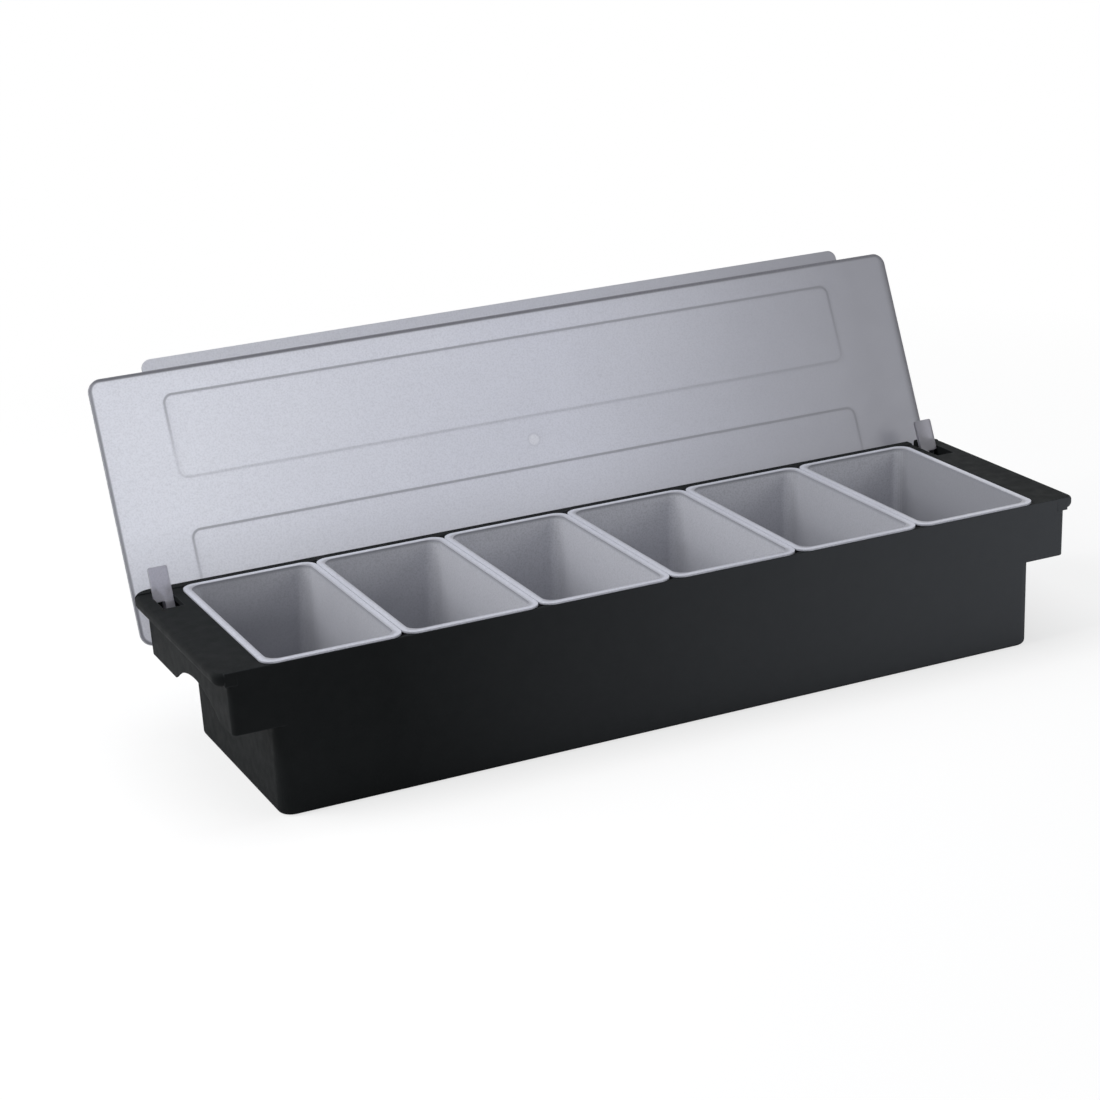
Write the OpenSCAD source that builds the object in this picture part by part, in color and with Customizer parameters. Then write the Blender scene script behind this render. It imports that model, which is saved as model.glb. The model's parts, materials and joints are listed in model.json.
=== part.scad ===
// Bar condiment caddy: a long open base, a row of lift-out trays and one hinged clear lid.
// Millimetres. The origin is at table level, under the middle of the base. X runs along
// the row of trays, +Y points to the hinge side and +Z is up. The lid is drawn open.

/* [Tray row] */
// Number of trays side by side
tray_count = 6; // [2:1:7]
// Distance from one tray to the next
tray_pitch = 74.5; // [64:0.5:90]
// Front to back size of a tray over its rim
tray_depth = 135; // [110:1:165]
// Height of a tray over its rim
tray_h = 74; // [45:1:76]
// Wall thickness of a tray
tray_wall = 1.4; // [1.2:0.1:2.2]
// Width of the rim outside the mouth of the tub
tray_rim_w = 2.3; // [2:0.1:3]
// Thickness of the rim
tray_rim_t = 1; // [0.8:0.1:2]
// Corner radius of the rim seen from above
tray_rim_r = 7.5; // [4:0.5:10]
// Corner radius of the tub at its mouth
tray_tub_r = 8.5; // [7:0.5:11]
// Radius between the walls and the floor of a tray
tray_floor_r = 8; // [4:0.5:12]
// Lean of the tray walls in degrees
tray_draft = 5; // [4.5:0.5:6]

/* [Base box] */
// Height of the base from the table to the top of its deck
base_h = 82; // [80:1:100]
// Thickness of the front wall at the top
front_wall = 2.1; // [2:0.1:2.5]
// Thickness of the end walls at the top
end_wall = 1.8; // [1.6:0.1:2]
// Thickness of the back wall at the top
back_wall = 3.7; // [3:0.1:5]
// Thickness of the floor
floor_t = 2.5; // [2:0.1:4]
// Lean of the front and back walls in degrees
box_draft = 1.4; // [0.5:0.1:2]
// Lean of the end walls behind the end skirts in degrees
box_end_draft = 5.2; // [4.5:0.1:5.5]
// Lean of the end walls below the end skirts in degrees
box_low_draft = 0; // [0:0.1:1]
// Radius of the upright corners of the box at its mouth
box_corner_r = 6; // [5:0.5:9]
// Radius of the upright corners of the box at the table
box_low_corner_r = 8; // [7:0.5:12]
// Radius between the walls and the underside of the box
box_foot_r = 2.6; // [2.5:0.1:6]

/* [Lip and end skirts] */
// Reach of each end of the deck beyond the row of trays
end_reach = 25; // [25:0.5:30]
// Reach of the lip beyond the back wall
back_reach = 5.8; // [4:0.1:7]
// Thickness of the lip
lip_t = 7; // [5:0.5:8]
// Radius of the upper edge of the lip
lip_top_r = 2.2; // [1:0.1:2.6]
// Rise of the strip behind the trays above the deck
lip_rise = 0.7; // [0.3:0.1:0.8]
// Radius of the back corners of the lip seen from above
lip_back_r = 11; // [8:0.5:12]
// Radius of the front corners of the lip seen from above
lip_front_r = 5; // [4:0.5:7]
// Overhang of the lip beyond the face of each end skirt
skirt_inset = 6.3; // [5:0.1:6.4]
// Radius of the upright corners of the end skirts
skirt_corner_r = 3; // [2:0.5:4]
// Depth of the end skirts below the top of the deck
skirt_h = 33.2; // [30:0.1:45]
// Wall thickness of the end skirts
skirt_wall = 1.8; // [1.5:0.1:2]
// Lean of the end skirts in degrees
skirt_draft = 1; // [0:0.1:1.2]
// Thickness of the deck over the end skirts
deck_t = 3; // [2:0.1:4]
// Radius of the handhold arch in each end skirt
arch_r = 65; // [50:1:80]
// Rise of the handhold arch
arch_rise = 11.4; // [6:0.1:14]
// Distance from the front wall back to the middle of the handhold arch
arch_from_front = 57.5; // [50:0.5:60]

/* [Lid] */
// Angle through which the lid opens, in degrees
lid_open = 113; // [90:1:113]
// Thickness of the lid panel
lid_t = 2.4; // [2:0.1:3]
// Distance from each end of the base in to the end of the lid
lid_end_inset = 2.5; // [1:0.1:4]
// Distance from the front wall back to the front edge of the closed lid
lid_front_inset = 9; // [8:0.5:12]
// Reach of the closed lid behind the back edge of the lip
lid_back_reach = 10.5; // [6:0.5:10.5]
// Corner radius of the lid panel
lid_corner_r = 7; // [4:0.5:12]
// Reach of the finger strip beyond the front edge of the lid
strip_reach = 6.4; // [4:0.1:10]
// Thickness of the finger strip
strip_t = 1.3; // [1:0.1:1.8]
// Distance from each end of the lid in to the end of the finger strip
strip_inset = 31.2; // [10:0.1:60]
// Corner radius of the finger strip
strip_r = 5; // [2:0.5:6]
// Width of the raised beads on the outer face of the lid
bead_w = 1.2; // [0.8:0.1:2]
// Height of the raised beads
bead_h = 0.5; // [0.3:0.1:1]
// Corner radius of the bead frames
bead_r = 5.5; // [3:0.5:12]
// Distance from each end of the lid in to the front bead frame
front_frame_inset = 40.3; // [20:0.1:70]
// Distance from the front edge of the lid back to the front bead frame
front_frame_y = 13.6; // [8:0.1:20]
// Front to back size of the front bead frame
front_frame_d = 46.7; // [30:0.1:50]
// Distance from each end of the lid in to the rear bead frame
rear_frame_inset = 40.3; // [20:0.1:70]
// Distance from the hinge side edge of the lid to the rear bead frame
rear_frame_y = 11; // [6:0.5:14]
// Front to back size of the rear bead frame
rear_frame_d = 45.8; // [38:0.1:48]
// Radius of the round mark in the middle of the lid
mark_r = 3.5; // [2:0.1:6]
// Distance from the hinge side edge of the lid to the round mark
mark_y = 73; // [66:0.5:76]

/* [Hinge] */
// Distance from the back edge of the lip forward to the hinge axis
hinge_from_back = 9; // [8.8:0.1:9.4]
// Distance from the hinge axis to the inner face of the lid
hinge_to_lid = 11.3; // [11:0.1:11.6]
// Radius of the hinge bar
hinge_r = 2.5; // [2:0.1:2.7]
// Radial clearance of the lid arm on the hinge bar
hinge_fit = 0.06; // [0.03:0.01:0.1]
// Distance from the hinge axis to the front face of the stop tab
tab_from_axis = 9.7; // [9.2:0.1:10]
// Thickness of the stop tab
tab_t = 2.2; // [1.6:0.1:2.4]
// Reach of the stop tab past the hinge axis, along the lid
tab_reach = 19.7; // [16:0.1:24]
// Distance from the hinge axis to the inner end of the stop tab, along the lid
tab_start = 1.2; // [0.5:0.1:2]
// Width of the stop tab
tab_w = 10.4; // [8:0.1:10.8]
// Radius of the free corners of the stop tab
tab_corner_r = 1.2; // [0.5:0.1:2]
// Width of the lid arm that turns on the hinge bar
arm_w = 4.9; // [4:0.1:5.2]
// Reach of the lid arm past the hinge axis, towards the free edge of the lid
arm_head = 4.4; // [4:0.1:6]
// Reach of the lid arm past the hinge axis, towards the hinge side edge of the lid
arm_foot = 6.5; // [5.5:0.1:7]
// Distance from the hinge axis to the neck that joins the arm to the lid panel
neck_start = 1.8; // [1:0.1:2.4]
// Width of the snap mouth of the lid arm
mouth_w = 4.4; // [3.6:0.1:4.5]
// Width of the deck between the row of trays and each hinge pocket
pocket_ridge = 5.8; // [5.4:0.1:6]
// Reach of each hinge pocket in front of the hinge axis
pocket_reach = 26; // [24:0.5:36]
// Depth of each hinge pocket below the hinge axis
pocket_drop = 11.5; // [11:0.1:14]
// Radius of the bearing block round the hinge bar
block_r = 3.2; // [3:0.1:3.4]
// Thickness of the bearing cheek on the tray side of each hinge pocket
cheek_t = 2.2; // [1.6:0.1:3]

/* [Clearances] */
// Gap between neighbouring tray rims
rim_gap = 0.3; // [0.2:0.1:0.6]
// Gap between a tub and the opening of the base
tub_gap = 0.5; // [0.3:0.1:0.6]
// Gap between the tray rims and the lid when it lies level
lid_gap = 3.3; // [3.2:0.1:3.8]
// Gap beside the lid arms and stop tabs
side_gap = 0.4; // [0.3:0.1:0.6]
// Gap between the stop tab and the bearing block when the lid is open
stop_gap = 0.4; // [0.3:0.1:0.8]

/* [Hidden] */
$fn = 64;

// Small overlap that makes joined shapes one solid
fuse = 0.5;
// Overrun of a cutting shape past the face it opens
overrun = 1;
// Smallest upright corner radius left at the foot of a tapered shell
least_r = 0.6;
// Steps in each rounded corner and each rounded foot of the tapered shells
corner_steps = 8;
foot_steps = 6;
// Facets of the handhold arch
arch_facets = 128;

// Tray row
row_x = tray_count * tray_pitch / 2;
rim_len = tray_pitch - rim_gap;
tub_len = rim_len - 2 * tray_rim_w;
tub_depth = tray_depth - 2 * tray_rim_w;

// Opening of the base and the box round it
mouth_x = row_x - rim_gap / 2 - tray_rim_w + tub_gap;
mouth_d = tub_depth + 2 * tub_gap;
box_x = mouth_x + end_wall;
box_d = front_wall + mouth_d + back_wall;
base_d = box_d + back_reach;
front_y = -base_d / 2;
back_y = base_d / 2;
tray_y = front_y + front_wall + mouth_d / 2;
box_y = front_y + box_d / 2;
rim_top = base_h + tray_rim_t;
rim_back_y = tray_y + tray_depth / 2 + rim_gap;

// Lip, deck and skirts
base_x = row_x + end_reach;
lip_nose = lip_t / 2;
lip_face = lip_nose - lip_top_r;
skirt_x = base_x - skirt_inset;
skirt_in_x = skirt_x - skirt_wall;
skirt_z = base_h - skirt_h;

// Lid
lid_x = base_x - lid_end_inset;
lid_d = base_d - lid_front_inset + lid_back_reach;
lid_front_y = front_y + lid_front_inset;
lid_back_y = back_y + lid_back_reach;
lid_z = rim_top + lid_gap;

// Hinge
axis_y = back_y - hinge_from_back;
axis_z = lid_z - hinge_to_lid;
pocket_x = row_x + pocket_ridge;
arm_x = pocket_x + side_gap;
tab_x = arm_x + tab_w;
slot_w = arm_w + 2 * side_gap;
block_x = pocket_x + slot_w;
lean = lid_open - 90;
tab_back = tab_from_axis - tab_t;
block_front_y = axis_y + (base_h - axis_z) * tan(lean) - tab_back / cos(lean) + stop_gap;

// Points of a rounded rectangle at height z, counter-clockwise seen from above
function ring(w, d, r, z) = [
    for (corner = [0:3])
    let (sx = (corner == 0 || corner == 3) ? 1 : -1)
    let (sy = corner < 2 ? 1 : -1)
    for (step = [0:corner_steps])
    let (angle = 90 * (corner + step / corner_steps))
    [sx * (w / 2 - r) + r * cos(angle), sy * (d / 2 - r) + r * sin(angle), z]
];

// Solid with leaning walls, rounded corners and a rounded foot, its mouth at z = 0.
// It runs down to z = -h, and straight up from the mouth by rise. Below the knee depth,
// where one is given, the end walls lean by low_lean instead of lean_x. The corner radius
// grows by corner_growth from the mouth to the foot.
module tapered_box(
    w, d, h, corner_r, foot_r, lean_x, lean_y,
    rise = 0, knee = 0, low_lean = 0, corner_growth = 0
) {
    turn = knee > 0 ? knee : h;
    insets = [for (k = [0:foot_steps]) foot_r * (1 - cos(90 * k / foot_steps))];
    depths = [for (k = [0:foot_steps]) h - foot_r * (1 - sin(90 * k / foot_steps))];
    mouth = rise > 0 ? [ring(w, d, corner_r, rise), ring(w, d, corner_r, 0)] : [ring(w, d, corner_r, 0)];
    bend = knee > 0
        ? [ring(
            w - 2 * knee * tan(lean_x), d - 2 * knee * tan(lean_y),
            corner_r + corner_growth * knee / h, -knee
        )]
        : [];
    foot = [
        for (k = [0:foot_steps])
        let (end_shift = min(depths[k], turn) * tan(lean_x) + max(depths[k] - turn, 0) * tan(low_lean))
        ring(
            w - 2 * (end_shift + insets[k]),
            d - 2 * (depths[k] * tan(lean_y) + insets[k]),
            max(corner_r + corner_growth * depths[k] / h - insets[k], least_r),
            -depths[k]
        )
    ];
    rings = concat(mouth, bend, foot);
    count = len(rings[0]);
    last = len(rings) - 1;
    sides = [
        for (level = [0:last - 1])
        for (i = [0:count - 1])
        let (j = (i + 1) % count)
        let (top = level * count)
        let (low = top + count)
        for (face = [[top + i, top + j, low + j], [top + i, low + j, low + i]])
        face
    ];
    mouth_face = [[for (i = [count - 1:-1:0]) i]];
    foot_face = [[for (i = [0:count - 1]) last * count + i]];
    polyhedron(
        points = [for (level = rings) for (point = level) point],
        faces = concat(sides, mouth_face, foot_face)
    );
}

module rounded_rect(w, d, r) {
    square([w - 2 * r, d], center = true);
    square([w, d - 2 * r], center = true);
    for (sx = [-1, 1])
        for (sy = [-1, 1])
            translate([sx * (w / 2 - r), sy * (d / 2 - r)])
                circle(r);
}

// Repeats its children at both ends of the caddy
module both_ends() {
    children();
    mirror([1, 0, 0])
        children();
}

// Cuboid from one corner to the opposite one
module block(low, high) {
    translate(low)
        cube(high - low);
}

// One lift-out tray, hanging by its rim
module tray(number) {
    x = (number - (tray_count + 1) / 2) * tray_pitch;
    color("#c9ccd4")
        translate([x, tray_y, rim_top])
            difference() {
                union() {
                    translate([0, 0, -tray_rim_t])
                        linear_extrude(tray_rim_t)
                            rounded_rect(rim_len, tray_depth, tray_rim_r);
                    translate([0, 0, -tray_rim_t / 2])
                        tapered_box(
                            tub_len, tub_depth, tray_h - tray_rim_t / 2,
                            tray_tub_r, tray_floor_r, tray_draft, tray_draft
                        );
                }
                tapered_box(
                    tub_len - 2 * tray_wall, tub_depth - 2 * tray_wall, tray_h - tray_wall,
                    tray_tub_r - tray_wall, tray_floor_r - tray_wall, tray_draft, tray_draft,
                    rise = overrun
                );
            }
}

// Section through the lip, from x = 0 out to its edge at x = reach: flat above and below,
// with a small upper and a large lower edge radius
module lip_section(reach) {
    translate([0, -lip_nose])
        square([reach - lip_nose, lip_t]);
    translate([reach - lip_nose, 0]) {
        square([lip_nose, lip_face]);
        translate([0, lip_face])
            square([lip_nose - lip_top_r, lip_top_r]);
        intersection() {
            circle(lip_nose);
            translate([0, -lip_nose])
                square([lip_nose, lip_nose]);
        }
    }
    translate([reach - lip_top_r, lip_face])
        intersection() {
            circle(lip_top_r);
            square([lip_top_r, lip_top_r]);
        }
}

// Straight piece of the lip, running along Y between two places
module lip_run(from_y, to_y) {
    translate([0, to_y, 0])
        rotate([90, 0, 0])
            linear_extrude(to_y - from_y)
                lip_section(lip_back_r);
}

// Plate with rounded edges at the ends and the back
module lip_plate() {
    run_x = base_x - lip_back_r;
    run_back = back_y - lip_back_r;
    run_front = front_y + lip_front_r;
    block([-run_x, run_front, base_h - lip_t], [run_x, run_back, base_h]);
    translate([0, 0, base_h - lip_nose]) {
        both_ends() {
            translate([run_x, 0, 0])
                lip_run(run_front, run_back);
            translate([run_x, run_back, 0])
                rotate_extrude(angle = 90)
                    lip_section(lip_back_r);
            translate([base_x - lip_front_r, run_front, 0])
                rotate([0, 0, -90])
                    rotate_extrude(angle = 90)
                        lip_section(lip_front_r);
            block(
                [skirt_x - lip_front_r, front_y, -lip_nose],
                [base_x - lip_front_r, run_front, lip_nose]
            );
        }
        translate([0, run_back, 0])
            rotate([0, 0, 90])
                lip_run(-run_x, run_x);
    }
}

// The plate with a slightly raised strip behind the trays
module lip() {
    lip_plate();
    intersection() {
        translate([0, 0, lip_rise])
            lip_plate();
        block(
            [-base_x - overrun, rim_back_y, base_h - lip_top_r],
            [base_x + overrun, back_y + overrun, base_h + lip_rise + overrun]
        );
    }
}

// Hollow under the deck, between the end skirts
module skirt_hollow() {
    block(
        [-skirt_in_x, front_y + front_wall, skirt_z - overrun],
        [skirt_in_x, box_y + box_d / 2 - skirt_wall, base_h - deck_t]
    );
}

// Side view of a bearing, drawn with the hinge bar at the origin
module bearing_profile() {
    top = base_h - axis_z - fuse;
    back = box_y + box_d / 2 - skirt_wall + fuse - axis_y;
    front = block_front_y - axis_y;
    circle(block_r);
    translate([0, -block_r])
        square([back, top + block_r]);
    translate([front, 0])
        square([back - front, top]);
}

// A bearing between two places along X
module bearing(from_x, to_x) {
    translate([from_x, axis_y, axis_z])
        rotate([90, 0, 90])
            linear_extrude(to_x - from_x)
                bearing_profile();
}

// Pocket for the stop tab and slot for the lid arm, open at the back
module hinge_pocket() {
    block(
        [pocket_x, axis_y - pocket_reach, axis_z - pocket_drop],
        [tab_x + side_gap, block_front_y, base_h + overrun]
    );
    block(
        [pocket_x, axis_y - pocket_reach, skirt_z - overrun],
        [block_x, back_y + overrun, base_h + overrun]
    );
}

module handhold_arch() {
    translate([skirt_in_x - overrun, front_y + arch_from_front, skirt_z + arch_rise - arch_r])
        rotate([0, 90, 0])
            cylinder(r = arch_r, h = skirt_wall + 2 * overrun, $fn = arch_facets);
}

module base() {
    color("#26292b") {
        difference() {
            union() {
                difference() {
                    union() {
                        translate([0, box_y, base_h])
                            tapered_box(
                                2 * skirt_x, box_d, skirt_h,
                                skirt_corner_r, fuse, skirt_draft, box_draft
                            );
                        lip();
                    }
                    skirt_hollow();
                }
                both_ends() {
                    bearing(block_x, skirt_in_x + fuse);
                    bearing(pocket_x - cheek_t, pocket_x);
                }
                translate([0, box_y, base_h])
                    tapered_box(
                        2 * box_x, box_d, base_h,
                        box_corner_r, box_foot_r, box_end_draft, box_draft,
                        knee = skirt_h, low_lean = box_low_draft,
                        corner_growth = box_low_corner_r - box_corner_r
                    );
            }
            translate([0, tray_y, base_h])
                tapered_box(
                    2 * mouth_x, mouth_d, base_h - floor_t,
                    box_corner_r - front_wall, box_foot_r - front_wall,
                    box_end_draft, box_draft,
                    rise = overrun, knee = skirt_h, low_lean = box_low_draft,
                    corner_growth = box_low_corner_r - box_corner_r
                );
            both_ends() {
                hinge_pocket();
                handhold_arch();
            }
        }
        both_ends()
            translate([pocket_x - fuse, axis_y, axis_z])
                rotate([0, 90, 0])
                    cylinder(r = hinge_r, h = slot_w + 2 * fuse);
    }
}

// Raised outline of a rounded rectangle on the outer face of the closed lid
module bead_frame(inset, from_y, to_y) {
    w = 2 * (lid_x - inset);
    d = to_y - from_y;
    translate([0, (from_y + to_y) / 2, lid_z + lid_t - fuse])
        linear_extrude(bead_h + fuse)
            difference() {
                rounded_rect(w, d, bead_r);
                rounded_rect(w - 2 * bead_w, d - 2 * bead_w, bead_r - bead_w);
            }
}

// Arm that clips on the hinge bar, with the stop tab in front of it
module lid_arm() {
    translate([arm_x, axis_y, axis_z]) {
        difference() {
            union() {
                block([0, -arm_head, -tab_from_axis], [arm_w, arm_foot, arm_head]);
                block([0, neck_start, 0], [arm_w, arm_foot, hinge_to_lid + fuse]);
            }
            translate([-overrun, 0, 0])
                rotate([0, 90, 0])
                    cylinder(r = hinge_r + hinge_fit, h = arm_w + 2 * overrun);
            block(
                [-overrun, 0, -mouth_w / 2],
                [arm_w + overrun, arm_foot + overrun, mouth_w / 2]
            );
        }
        translate([tab_w / 2, -(tab_start + tab_reach) / 2, -tab_from_axis])
            linear_extrude(tab_t)
                rounded_rect(tab_w, tab_reach - tab_start, tab_corner_r);
    }
}

// The lid as it lies when closed
module closed_lid() {
    mid_y = (lid_front_y + lid_back_y) / 2;
    strip_d = strip_reach + 2 * strip_r;
    translate([0, mid_y, lid_z])
        linear_extrude(lid_t)
            rounded_rect(2 * lid_x, lid_d, lid_corner_r);
    translate([0, lid_front_y - strip_reach + strip_d / 2, lid_z + lid_t - strip_t])
        linear_extrude(strip_t)
            rounded_rect(2 * (lid_x - strip_inset), strip_d, strip_r);
    bead_frame(
        front_frame_inset, lid_front_y + front_frame_y,
        lid_front_y + front_frame_y + front_frame_d
    );
    bead_frame(
        rear_frame_inset, lid_back_y - rear_frame_y - rear_frame_d,
        lid_back_y - rear_frame_y
    );
    translate([0, lid_back_y - mark_y, lid_z + lid_t - fuse])
        cylinder(r = mark_r, h = bead_h + fuse);
    both_ends()
        lid_arm();
}

module lid() {
    color("#b4b6c2", 0.6)
        translate([0, axis_y, axis_z])
            rotate([-lid_open, 0, 0])
                translate([0, -axis_y, -axis_z])
                    closed_lid();
}

base();
for (i = [1:tray_count]) {
    tray(i);
}
lid();
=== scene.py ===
# Looks of the bar condiment caddy, in metres and in the frame of the CAD model.
import json
import math

import bpy
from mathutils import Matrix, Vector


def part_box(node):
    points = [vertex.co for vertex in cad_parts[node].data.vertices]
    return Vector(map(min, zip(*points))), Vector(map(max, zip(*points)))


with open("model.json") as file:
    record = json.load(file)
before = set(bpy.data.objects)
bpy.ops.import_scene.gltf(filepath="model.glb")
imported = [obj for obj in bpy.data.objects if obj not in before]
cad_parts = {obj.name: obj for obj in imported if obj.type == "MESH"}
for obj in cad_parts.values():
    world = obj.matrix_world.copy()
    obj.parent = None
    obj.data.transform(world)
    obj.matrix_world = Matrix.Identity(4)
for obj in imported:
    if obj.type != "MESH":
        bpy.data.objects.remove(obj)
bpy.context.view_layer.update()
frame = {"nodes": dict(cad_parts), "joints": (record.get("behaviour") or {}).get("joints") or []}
NODES = frame["nodes"]
HINGE = next(joint for joint in frame["joints"] if joint["name"] == "lid_hinge")

# Camera, from a fit to the straight edges in the photograph
CAMERA_AT = (-0.57322, -1.20836, 0.52786)
CAMERA_TURN = (71.459, 3.177, -24.974)
LENS_MM = 85.73
SENSOR_MM = 36.0

# Trays: top of their rims, spacing along the row, and place, size and corner radius of a rim
TRAY_LOW, TRAY_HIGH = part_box("tray_1")
RIM_TOP = TRAY_HIGH[2]
TRAY_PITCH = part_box("tray_2")[0][0] - TRAY_LOW[0]
TRAY_Y = (TRAY_LOW[1] + TRAY_HIGH[1]) / 2
TRAY_SIZE = (TRAY_HIGH[0] - TRAY_LOW[0], TRAY_HIGH[1] - TRAY_LOW[1])
TRAY_RIM_R = 0.0075

# The open lid: its lean away from upright in degrees, its hinge axis, how far its hinge side
# edge is behind the axis and its inner face off the axis, and its half length
LID_LEAN = 23.0
HINGE_Y, HINGE_Z = HINGE["pos_m"][1:]
EDGE_BEHIND_AXIS = 0.0195
FACE_OFF_AXIS = 0.0113
LID_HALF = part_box("lid")[1][0]
# Depth of the panel up to the finger strip, and its two bead frames as inset from each end,
# start and size measured up from the hinge side edge
LID_DEPTH = 0.1445
LID_FRAMES = ((0.0403, 0.0842, 0.0467), (0.0403, 0.011, 0.0458))
# Corner radius and width of the beads, and of the darker line along the rim of the panel
BEAD_R = 0.0055
BEAD_W = 0.0012
LID_CORNER_R = 0.007
LID_RIM_W = 0.0016
# The beads appear this much left of the middle, only partly by sight through the panel
BEAD_SHIFT = 0.0020
# The round mark between the frames: its place up from the hinge side edge and its radius
MARK_ALONG = 0.0712
MARK_R = 0.0035

# Surfaces. A pair of places runs from where a change starts to where it is complete, and a
# share says how much of the second colour is then mixed in.
WHITE = (1.0, 1.0, 1.0, 1.0)
BEVEL_SAMPLES = 6
NOISE_SPREAD = (0.3, 0.7)
GRAIN_SPREAD = (0.40, 0.75)
GRAIN_DETAIL = 2.0
# Match of a rounded normal with the flat one, on a face and along an edge
EDGE_MATCH = (0.995, 0.80)
# Drawn lines are faded out and full at these shares of their width from their middle
LINE_FADE = 0.8
LINE_CORE = 0.3

# Black moulding: grain, the painted sheen on faces turned to the front, and the worn edges with a
# painted highlight
BLACK_GRAIN = 0.35
SHEEN_FACING = (-0.3, -0.9)
SHEEN_X = (-0.16, 0.25)
WORN_HIGHLIT_EDGE = 0.0009
WORN_HIGHLIT_SHARE = 0.45

# Trays: painted shade along the row, painted shade lower down and painted light near the top
# of the wall as depths below the rim, the painted shade on faces turned left, which is deepest
# in the last tray, and the painted shade on the inner edge of the rim, as distance from its outline
WALL_SHADE_X = (-0.20, -0.05)
WALL_PATCHES = 0.25
LOW_SHADE_DEPTHS = (0.050, 0.012)
LOW_SHADE_SHARE = 0.25
RIM_LIGHT_DEPTHS = (0.030, 0.006)
RIM_LIGHT_SHARE = 0.30
SHADE_FACING = (-0.4, -0.9)
SHADE_X = (0.12, 0.18)
SHADE_SHARES = (0.22, 0.60)
RIM_DEPTHS = (0.0020, 0.0005)
RIM_SHADE_LINE = (-0.0038, -0.0020)

# Lid panel: painted light along the row, the darker tone near the base and on the finger strip,
# and the painted shade of its narrow sides, told by how well a face matches the panel
LEFT_TO_MIDDLE_X = (-0.20, 0.02)
MIDDLE_TO_RIGHT_X = (0.02, 0.22)
LOW_PANEL = (0.060, 0.015)
LOW_SHARE = 0.30
STRIP_FADE = 0.001
STRIP_SHARE = 0.30
EDGE_ON = (0.75, 0.35)
SIDE_SHARE = 0.8
# Stop tabs and arms: painted light along the row, painted shade on narrow sides, and where they
# start before the panel
TABS_X = (-0.20, 0.20)
TAB_SIDE_SHARE = 0.4
TAB_BEFORE = (0.004, 0.008)
# Bead frames are drawn as lines of painted shade, faint in their lower part: ends of that change,
# as shares of the frame's depth
FAINT_TO = 0.25
DARK_FROM = 0.9
BEAD_SHARES = (0.18, 0.55)
# Painted shade along the rims of the panel: all round, along the finger strip and at the right end
OUTLINE_SHARE = 0.75
STRIP_LINE_IN = (-0.0022, -0.0010)
STRIP_LINE_OUT = (0.0006, 0.0)
STRIP_LINE_SHARE = 0.65
RIGHT_END = (-0.0045, -0.001)
RIGHT_END_SHARE = 0.6
# Round mark: a pale disc with a faint ring of painted shade
MARK_CORE = 0.7
DISC_SHARE = 0.45
RING_FADE = (0.0008, 0.0002)
RING_SHARE = 0.15

# Studio: distances over which the floor turns plain white, the shares of its glow there, half
# its size, the strength of the plain light, and the lamps as name, place, size and power
FLOOR_FADE = (0.35, 0.9)
FLOOR_GLOW = (0.7, 1.0)
FLOOR_HALF = 15.0
WORLD_LIGHT = 0.35
LAMPS = (
    ("key_left", (-1.6, 0.3, 1.3), (1.2, 1.2), 30.0),
    ("fill_right", (1.7, -1.5, 0.9), (1.2, 1.0), 8.0),
    ("top", (0.0, 0.2, 2.0), (1.6, 1.0), 16.0),
)
LAMPS_TOWARDS = (0.0, 0.0, 0.06)


def srgb(code):
    """Linear RGB of a colour written as a hex code."""
    parts = [int(code[i:i + 2], 16) / 255 for i in (0, 2, 4)]
    linear = [p / 12.92 if p <= 0.04045 else ((p + 0.055) / 1.055) ** 2.4 for p in parts]
    return (*linear, 1.0)


def shifted_by(origin, places):
    """A pair of places that are given from an origin, as places in the model."""
    return [origin + place for place in places]


def below_rim(depths):
    """Heights of a pair of depths below the tops of the tray rims."""
    return [RIM_TOP - depth for depth in depths]


class Graph:
    """Small helper that makes and links shader nodes."""

    def __init__(self, name, world=False):
        if world:
            owner = bpy.data.worlds.new(name)
        else:
            owner = bpy.data.materials.new(name)
        owner.use_nodes = True
        self.owner = owner
        self.tree = owner.node_tree
        self.tree.nodes.clear()

    def node(self, kind, inputs=None, **settings):
        made = self.tree.nodes.new(kind)
        for key, value in settings.items():
            setattr(made, key, value)
        for key, value in (inputs or {}).items():
            self.put(made.inputs[key], value)
        return made

    def put(self, socket, value):
        if isinstance(value, bpy.types.NodeSocket):
            self.tree.links.new(value, socket)
        else:
            socket.default_value = value

    def math(self, operation, a, b=0.0):
        return self.node("ShaderNodeMath", {0: a, 1: b}, operation=operation).outputs[0]

    def product(self, a, b):
        return self.math("MULTIPLY", a, b)

    def ramp(self, value, low, high, out_low=0.0, out_high=1.0):
        made = self.node("ShaderNodeMapRange", {
            "Value": value, "From Min": low, "From Max": high,
            "To Min": out_low, "To Max": out_high,
        })
        return made.outputs["Result"]

    def blend(self, factor, first, second):
        made = self.node("ShaderNodeMix", data_type="RGBA")
        self.put(made.inputs[0], factor)
        self.put(made.inputs[6], first)
        self.put(made.inputs[7], second)
        return made.outputs[2]

    def noise(self, scale, detail):
        where = self.node("ShaderNodeTexCoord").outputs["Object"]
        made = self.node("ShaderNodeTexNoise", {
            "Vector": where, "Scale": scale, "Detail": detail,
        })
        return made.outputs["Fac"]

    def patches(self, scale, detail, low=0.0, high=1.0):
        """Soft noise spread from low to high."""
        return self.ramp(self.noise(scale, detail), *NOISE_SPREAD, low, high)

    def grain(self, scale, share):
        """Mask of fine specks, up to the share given."""
        return self.ramp(self.noise(scale, GRAIN_DETAIL), *GRAIN_SPREAD, 0.0, share)

    def surface(self, shader):
        self.node("ShaderNodeOutputMaterial", {"Surface": shader})


def soft_normal(graph, radius, height, strength, distance):
    """Edges rounded by radius, with a fine surface relief on top."""
    bevel = graph.node("ShaderNodeBevel", {"Radius": radius}, samples=BEVEL_SAMPLES)
    bump = graph.node("ShaderNodeBump", {
        "Height": height, "Strength": strength, "Distance": distance,
        "Normal": bevel.outputs["Normal"],
    })
    return bump.outputs["Normal"]


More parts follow.
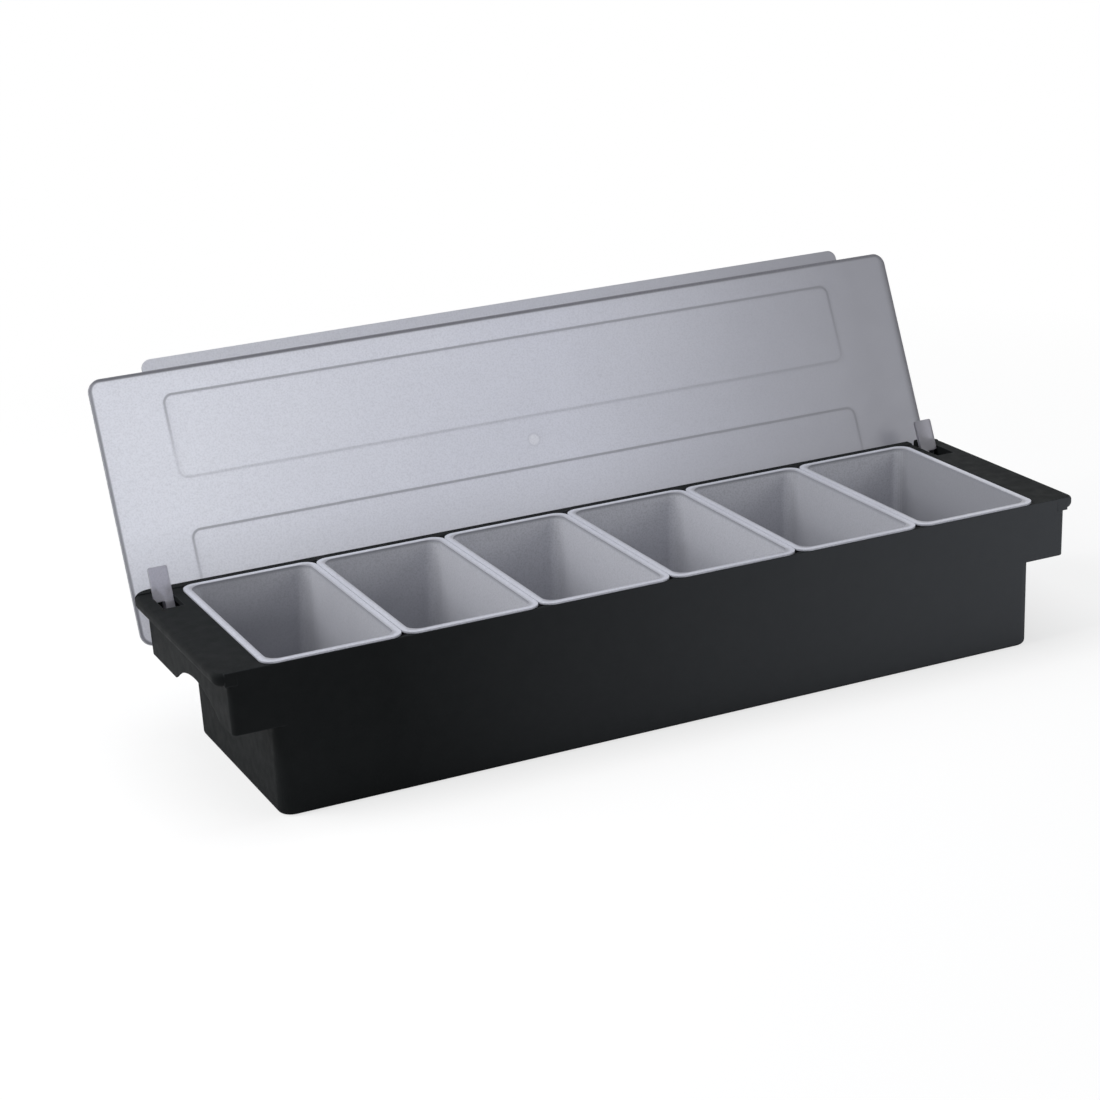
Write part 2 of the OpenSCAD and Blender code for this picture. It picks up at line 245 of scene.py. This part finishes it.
def edge_mask(graph, radius):
    """One along sharp edges within radius, zero on flat faces."""
    bevel = graph.node("ShaderNodeBevel", {"Radius": radius}, samples=BEVEL_SAMPLES)
    flat = graph.node("ShaderNodeNewGeometry").outputs["Normal"]
    match = graph.node("ShaderNodeVectorMath", {0: bevel.outputs["Normal"], 1: flat},
                       operation="DOT_PRODUCT").outputs["Value"]
    return graph.ramp(match, *EDGE_MATCH)


def outline_gap(graph, across, along, centre, size, radius):
    """Distance from the outline of a rounded rectangle, negative inside it."""
    reach = []
    for value, middle, full in zip((across, along), centre, size):
        off = graph.math("ABSOLUTE", graph.math("SUBTRACT", value, middle))
        reach.append(graph.math("SUBTRACT", off, full / 2 - radius))
    out_x = graph.math("MAXIMUM", reach[0], 0.0)
    out_y = graph.math("MAXIMUM", reach[1], 0.0)
    square = graph.math("ADD", graph.product(out_x, out_x), graph.product(out_y, out_y))
    inside = graph.math("MINIMUM", graph.math("MAXIMUM", reach[0], reach[1]), 0.0)
    return graph.math("SUBTRACT", graph.math("ADD", graph.math("SQRT", square), inside), radius)


def frame_line(graph, across, along, centre, size, radius, width):
    """One on a soft line just inside the outline of a rounded rectangle, else zero."""
    gap = outline_gap(graph, across, along, (0.0, centre), size, radius)
    off_line = graph.math("ABSOLUTE", graph.math("ADD", gap, width / 2))
    return graph.ramp(off_line, LINE_FADE * width, LINE_CORE * width)


def black_plastic():
    """Satin black with fine grain, worn edges with a painted highlight and, on the front, a painted
    sheen that grows to the right.
    """
    g = Graph("black_moulding")
    coords = g.node("ShaderNodeTexCoord").outputs
    across = g.node("ShaderNodeSeparateXYZ", {0: coords["Object"]}).outputs["X"]
    facing = g.node("ShaderNodeSeparateXYZ", {0: coords["Normal"]}).outputs["Y"]
    patches = g.patches(scale=11.0, detail=4.0)
    grain = g.noise(scale=900.0, detail=3.0)
    colour = g.blend(patches, srgb("0c0e0f"), srgb("111314"))
    colour = g.blend(g.product(grain, BLACK_GRAIN), colour, srgb("191b1c"))
    # Painted sheen: faces turned to the front grow lighter towards the right.
    painted_sheen = g.product(g.ramp(facing, *SHEEN_FACING), g.ramp(across, *SHEEN_X))
    colour = g.blend(painted_sheen, colour, srgb("434548"))
    # Worn edges, partly a painted highlight: sharp edges are made lighter.
    worn_and_highlit_edge = g.product(edge_mask(g, WORN_HIGHLIT_EDGE), WORN_HIGHLIT_SHARE)
    colour = g.blend(worn_and_highlit_edge, colour, srgb("3c3e41"))
    shader = g.node("ShaderNodeBsdfPrincipled", {
        "Base Color": colour, "Specular IOR Level": 0.07,
        "Roughness": g.patches(scale=150.0, detail=5.0, low=0.64, high=0.76),
        "Normal": soft_normal(g, radius=0.0006, height=grain, strength=0.18, distance=0.0003),
    })
    g.surface(shader.outputs[0])
    return g.owner


def tray_wall_colour(g, place, facing, patches):
    """Tones of a tray below its rim, with painted shade: darker at the far left, low down and on
    faces turned left, and painted light near the rim.
    """
    # Painted shade: walls darker at the far left of the row.
    wall = g.blend(g.ramp(place["X"], *WALL_SHADE_X), srgb("9a9ba2"), srgb("bfc0c7"))
    wall = g.blend(g.product(patches, WALL_PATCHES), wall, srgb("c4c5cc"))
    # Painted shade: the walls darken down towards the floor of the tray.
    floor = g.blend(LOW_SHADE_SHARE, wall, srgb("74757b"))
    colour = g.blend(g.ramp(place["Z"], *below_rim(LOW_SHADE_DEPTHS)), floor, wall)
    # Painted light: the walls grow paler towards the rim.
    pale = g.ramp(place["Z"], *below_rim(RIM_LIGHT_DEPTHS), 0.0, RIM_LIGHT_SHARE)
    colour = g.blend(pale, colour, srgb("dfe0e6"))
    shade = g.product(g.ramp(facing, *SHADE_FACING), g.ramp(place["X"], *SHADE_X, *SHADE_SHARES))
    return g.blend(shade, colour, srgb("5f6066"))


def tray_plastic():
    """Milky white, made opaque, with the soft darkening down the walls painted on as shade."""
    g = Graph("white_tray")
    coords = g.node("ShaderNodeTexCoord").outputs
    place = g.node("ShaderNodeSeparateXYZ", {0: coords["Object"]}).outputs
    facing = g.node("ShaderNodeSeparateXYZ", {0: coords["Normal"]}).outputs["X"]
    patches = g.patches(scale=20.0, detail=3.0)
    colour = tray_wall_colour(g, place, facing, patches)
    in_pitch = g.math("SUBTRACT", g.math("FLOORED_MODULO", place["X"], TRAY_PITCH), TRAY_PITCH / 2)
    gap = outline_gap(g, in_pitch, place["Y"], (0.0, TRAY_Y), TRAY_SIZE, TRAY_RIM_R)
    rim = g.blend(patches, srgb("b1b3bd"), srgb("babcc6"))
    # Painted shade on the inner edge of the rim, as on a rounded lip.
    rim = g.blend(g.ramp(gap, *RIM_SHADE_LINE), srgb("909198"), rim)
    colour = g.blend(g.ramp(place["Z"], *below_rim(RIM_DEPTHS)), colour, rim)
    grain = g.grain(scale=1100.0, share=0.35)
    colour = g.blend(grain, colour, srgb("85868c"))
    shader = g.node("ShaderNodeBsdfPrincipled", {
        "Base Color": colour, "Specular IOR Level": 0.35,
        "Roughness": g.patches(scale=90.0, detail=4.0, low=0.34, high=0.44),
        "Normal": soft_normal(g, radius=0.0004, height=g.noise(scale=700.0, detail=2.0),
                              strength=0.05, distance=0.0002),
    })
    g.surface(shader.outputs[0])
    return g.owner


def lid_place(g, place):
    """Places up along the open lid from its hinge side edge, and in front of its inner face."""
    lean = math.radians(LID_LEAN)
    off_y = g.math("SUBTRACT", place["Y"], HINGE_Y)
    off_z = g.math("SUBTRACT", place["Z"], HINGE_Z)
    along = g.math("ADD", g.product(off_y, math.sin(lean)), g.product(off_z, math.cos(lean)))
    before = g.math("SUBTRACT", g.product(off_z, math.sin(lean)), g.product(off_y, math.cos(lean)))
    return g.math("ADD", along, EDGE_BEHIND_AXIS), g.math("ADD", before, FACE_OFF_AXIS)


def lid_tone(g, across, along):
    """Tone of the panel: painted light, paler at the left and darker to the right, and a darker
    tone near the base and on the finger strip.
    """
    patches = g.patches(scale=9.0, detail=3.0)
    # Painted light: paler at the left end of the panel, darker to the right.
    left = g.blend(patches, srgb("e6e8f1"), srgb("ebedf5"))
    middle = g.blend(patches, srgb("d0d2dd"), srgb("d6d8e2"))
    right = g.blend(patches, srgb("90919a"), srgb("9798a1"))
    colour = g.blend(g.ramp(across, *LEFT_TO_MIDDLE_X), left, middle)
    colour = g.blend(g.ramp(across, *MIDDLE_TO_RIGHT_X), colour, right)
    colour = g.blend(g.ramp(along, *LOW_PANEL, 0.0, LOW_SHARE), colour, srgb("84848c"))
    on_strip = g.ramp(along, LID_DEPTH, LID_DEPTH + STRIP_FADE, 0.0, STRIP_SHARE)
    return g.blend(on_strip, colour, srgb("84848c"))


def lid_lines(g, colour, across, along):
    """Draws the bead frames and the rims of the panel as lines of painted shade, and the round mark
    with a ring of painted shade, on a colour.
    """
    shifted = g.math("ADD", across, BEAD_SHIFT)
    for inset, start, depth in LID_FRAMES:
        size = (2 * (LID_HALF - inset), depth)
        line = frame_line(g, shifted, along, start + depth / 2, size, BEAD_R, BEAD_W)
        upper = g.ramp(along, start + FAINT_TO * depth, start + DARK_FROM * depth, *BEAD_SHARES)
        # Painted shade along each bead, faint in its lower part.
        colour = g.blend(g.product(line, upper), colour, srgb("606069"))
    size = (2 * LID_HALF, LID_DEPTH)
    # Painted shade along the rims of the panel.
    outline = frame_line(g, across, along, LID_DEPTH / 2, size, LID_CORNER_R, LID_RIM_W)
    colour = g.blend(g.product(outline, OUTLINE_SHARE), colour, srgb("5a5a63"))
    # Painted shade at the step to the finger strip.
    strip_line = g.product(g.ramp(along, *shifted_by(LID_DEPTH, STRIP_LINE_IN)),
                           g.ramp(along, *shifted_by(LID_DEPTH, STRIP_LINE_OUT)))
    colour = g.blend(g.product(strip_line, STRIP_LINE_SHARE), colour, srgb("54545d"))
    from_mark = g.node("ShaderNodeVectorMath", {
        0: g.node("ShaderNodeCombineXYZ", {0: shifted, 1: along}).outputs[0],
        1: (0.0, MARK_ALONG, 0.0),
    }, operation="DISTANCE").outputs["Value"]
    disc = g.ramp(from_mark, MARK_R, MARK_CORE * MARK_R, 0.0, DISC_SHARE)
    colour = g.blend(disc, colour, srgb("f2f3f8"))
    # Painted shade: a faint ring round the mark.
    ring = g.ramp(g.math("ABSOLUTE", g.math("SUBTRACT", from_mark, MARK_R)), *RING_FADE)
    colour = g.blend(g.product(ring, RING_SHARE), colour, srgb("606069"))
    # Painted shade at the right end of the panel.
    right_end = g.ramp(across, *shifted_by(LID_HALF, RIGHT_END), 0.0, RIGHT_END_SHARE)
    return g.blend(right_end, colour, srgb("5c5c65"))


def clear_plastic():
    """Clear moulding with painted shade on its narrow sides, beads drawn as painted shade, and a
    tone of its own for the tabs with painted light along the row.
    """
    g = Graph("clear_lid")
    coords = g.node("ShaderNodeTexCoord").outputs
    place = g.node("ShaderNodeSeparateXYZ", {0: coords["Object"]}).outputs
    along, before = lid_place(g, place)
    colour = lid_tone(g, place["X"], along)
    lean = math.radians(LID_LEAN)
    flat = g.node("ShaderNodeVectorMath", {
        0: coords["Normal"], 1: (0.0, math.cos(lean), -math.sin(lean)),
    }, operation="DOT_PRODUCT").outputs["Value"]
    # Painted shade on the narrow sides of the panel.
    side = g.ramp(g.math("ABSOLUTE", flat), *EDGE_ON)
    colour = g.blend(g.product(side, SIDE_SHARE), colour, srgb("4c4c54"))
    # Painted light on the tabs, paler at the left, with painted shade on their narrow sides.
    tab = g.blend(g.ramp(place["X"], *TABS_X), srgb("c8c7d1"), srgb("9a99a3"))
    tab = g.blend(g.product(side, TAB_SIDE_SHARE), tab, srgb("6a6a72"))
    colour = g.blend(g.ramp(before, *TAB_BEFORE), colour, tab)
    colour = lid_lines(g, colour, place["X"], along)
    colour = g.blend(g.grain(scale=1000.0, share=0.30), colour, srgb("8f9099"))
    shader = g.node("ShaderNodeBsdfPrincipled", {
        "Base Color": colour, "IOR": 1.49,
        "Roughness": g.patches(scale=120.0, detail=4.0, low=0.30, high=0.36),
        "Transmission Weight": 0.7, "Specular IOR Level": 0.4,
        "Normal": soft_normal(g, radius=0.0004, height=g.noise(scale=500.0, detail=2.0),
                              strength=0.04, distance=0.0002),
    })
    g.surface(shader.outputs[0])
    return g.owner


def floor_material():
    """Pale floor that keeps the soft shadow close by and is plain white further off."""
    g = Graph("pale_floor")
    colour = g.blend(g.noise(scale=3.0, detail=2.0), srgb("f6f6f6"), srgb("fafafa"))
    diffuse = g.node("ShaderNodeBsdfDiffuse", {"Color": colour})
    glow = g.node("ShaderNodeEmission", {"Color": WHITE, "Strength": 1.0})
    path = g.node("ShaderNodeLightPath").outputs
    seen = g.math("MAXIMUM", path["Is Camera Ray"], path["Is Transmission Ray"])
    where = g.node("ShaderNodeTexCoord").outputs["Object"]
    away = g.node("ShaderNodeVectorMath", {0: where}, operation="LENGTH").outputs["Value"]
    share = g.product(seen, g.ramp(away, *FLOOR_FADE, *FLOOR_GLOW))
    mix = g.node("ShaderNodeMixShader", {0: share, 1: diffuse.outputs[0], 2: glow.outputs[0]})
    g.surface(mix.outputs[0])
    return g.owner


def white_world():
    """White to the camera, through the lid and in reflections, else a plain soft light."""
    g = Graph("studio", world=True)
    path = g.node("ShaderNodeLightPath").outputs
    seen = g.math("MAXIMUM", path["Is Camera Ray"], path["Is Transmission Ray"])
    seen = g.math("MAXIMUM", seen, path["Is Glossy Ray"])
    lit = g.node("ShaderNodeBackground", {"Color": srgb("f2f4f8"), "Strength": WORLD_LIGHT})
    white = g.node("ShaderNodeBackground", {"Color": WHITE, "Strength": 1.0})
    mix = g.node("ShaderNodeMixShader", {0: seen, 1: lit.outputs[0], 2: white.outputs[0]})
    g.node("ShaderNodeOutputWorld", {"Surface": mix.outputs[0]})
    bpy.context.scene.world = g.owner


def finish_node(name, material):
    mesh = NODES[name].data
    mesh.materials.clear()
    mesh.materials.append(material)


def softbox(name, at, size, watts):
    """Rectangular lamp that looks at the part."""
    lamp = bpy.data.lights.new(name, "AREA")
    lamp.shape = "RECTANGLE"
    lamp.size = size[0]
    lamp.size_y = size[1]
    lamp.energy = watts
    obj = bpy.data.objects.new(name, lamp)
    bpy.context.scene.collection.objects.link(obj)
    obj.location = at
    away = [a - b for a, b in zip(at, LAMPS_TOWARDS)]
    flat = math.hypot(away[0], away[1])
    obj.rotation_euler = (math.atan2(flat, away[2]), 0.0, math.atan2(away[0], -away[1]))


def make_floor():
    half = FLOOR_HALF
    mesh = bpy.data.meshes.new("floor")
    corners = [(-half, -half, 0), (half, -half, 0), (half, half, 0), (-half, half, 0)]
    mesh.from_pydata(corners, [], [(0, 1, 2, 3)])
    mesh.materials.append(floor_material())
    obj = bpy.data.objects.new("floor", mesh)
    bpy.context.scene.collection.objects.link(obj)


def make_camera():
    data = bpy.data.cameras.new("camera")
    data.sensor_fit = "HORIZONTAL"
    data.sensor_width = SENSOR_MM
    data.lens = LENS_MM
    obj = bpy.data.objects.new("camera", data)
    bpy.context.scene.collection.objects.link(obj)
    obj.location = CAMERA_AT
    obj.rotation_euler = [math.radians(angle) for angle in CAMERA_TURN]
    bpy.context.scene.camera = obj


make_camera()
make_floor()
white_world()

tray_material = tray_plastic()
finish_node("base", black_plastic())
finish_node("lid", clear_plastic())
for name in NODES:
    if name.startswith("tray_"):
        finish_node(name, tray_material)

for name, at, size, watts in LAMPS:
    softbox(name, at, size, watts)

bpy.context.scene.view_settings.view_transform = "Standard"
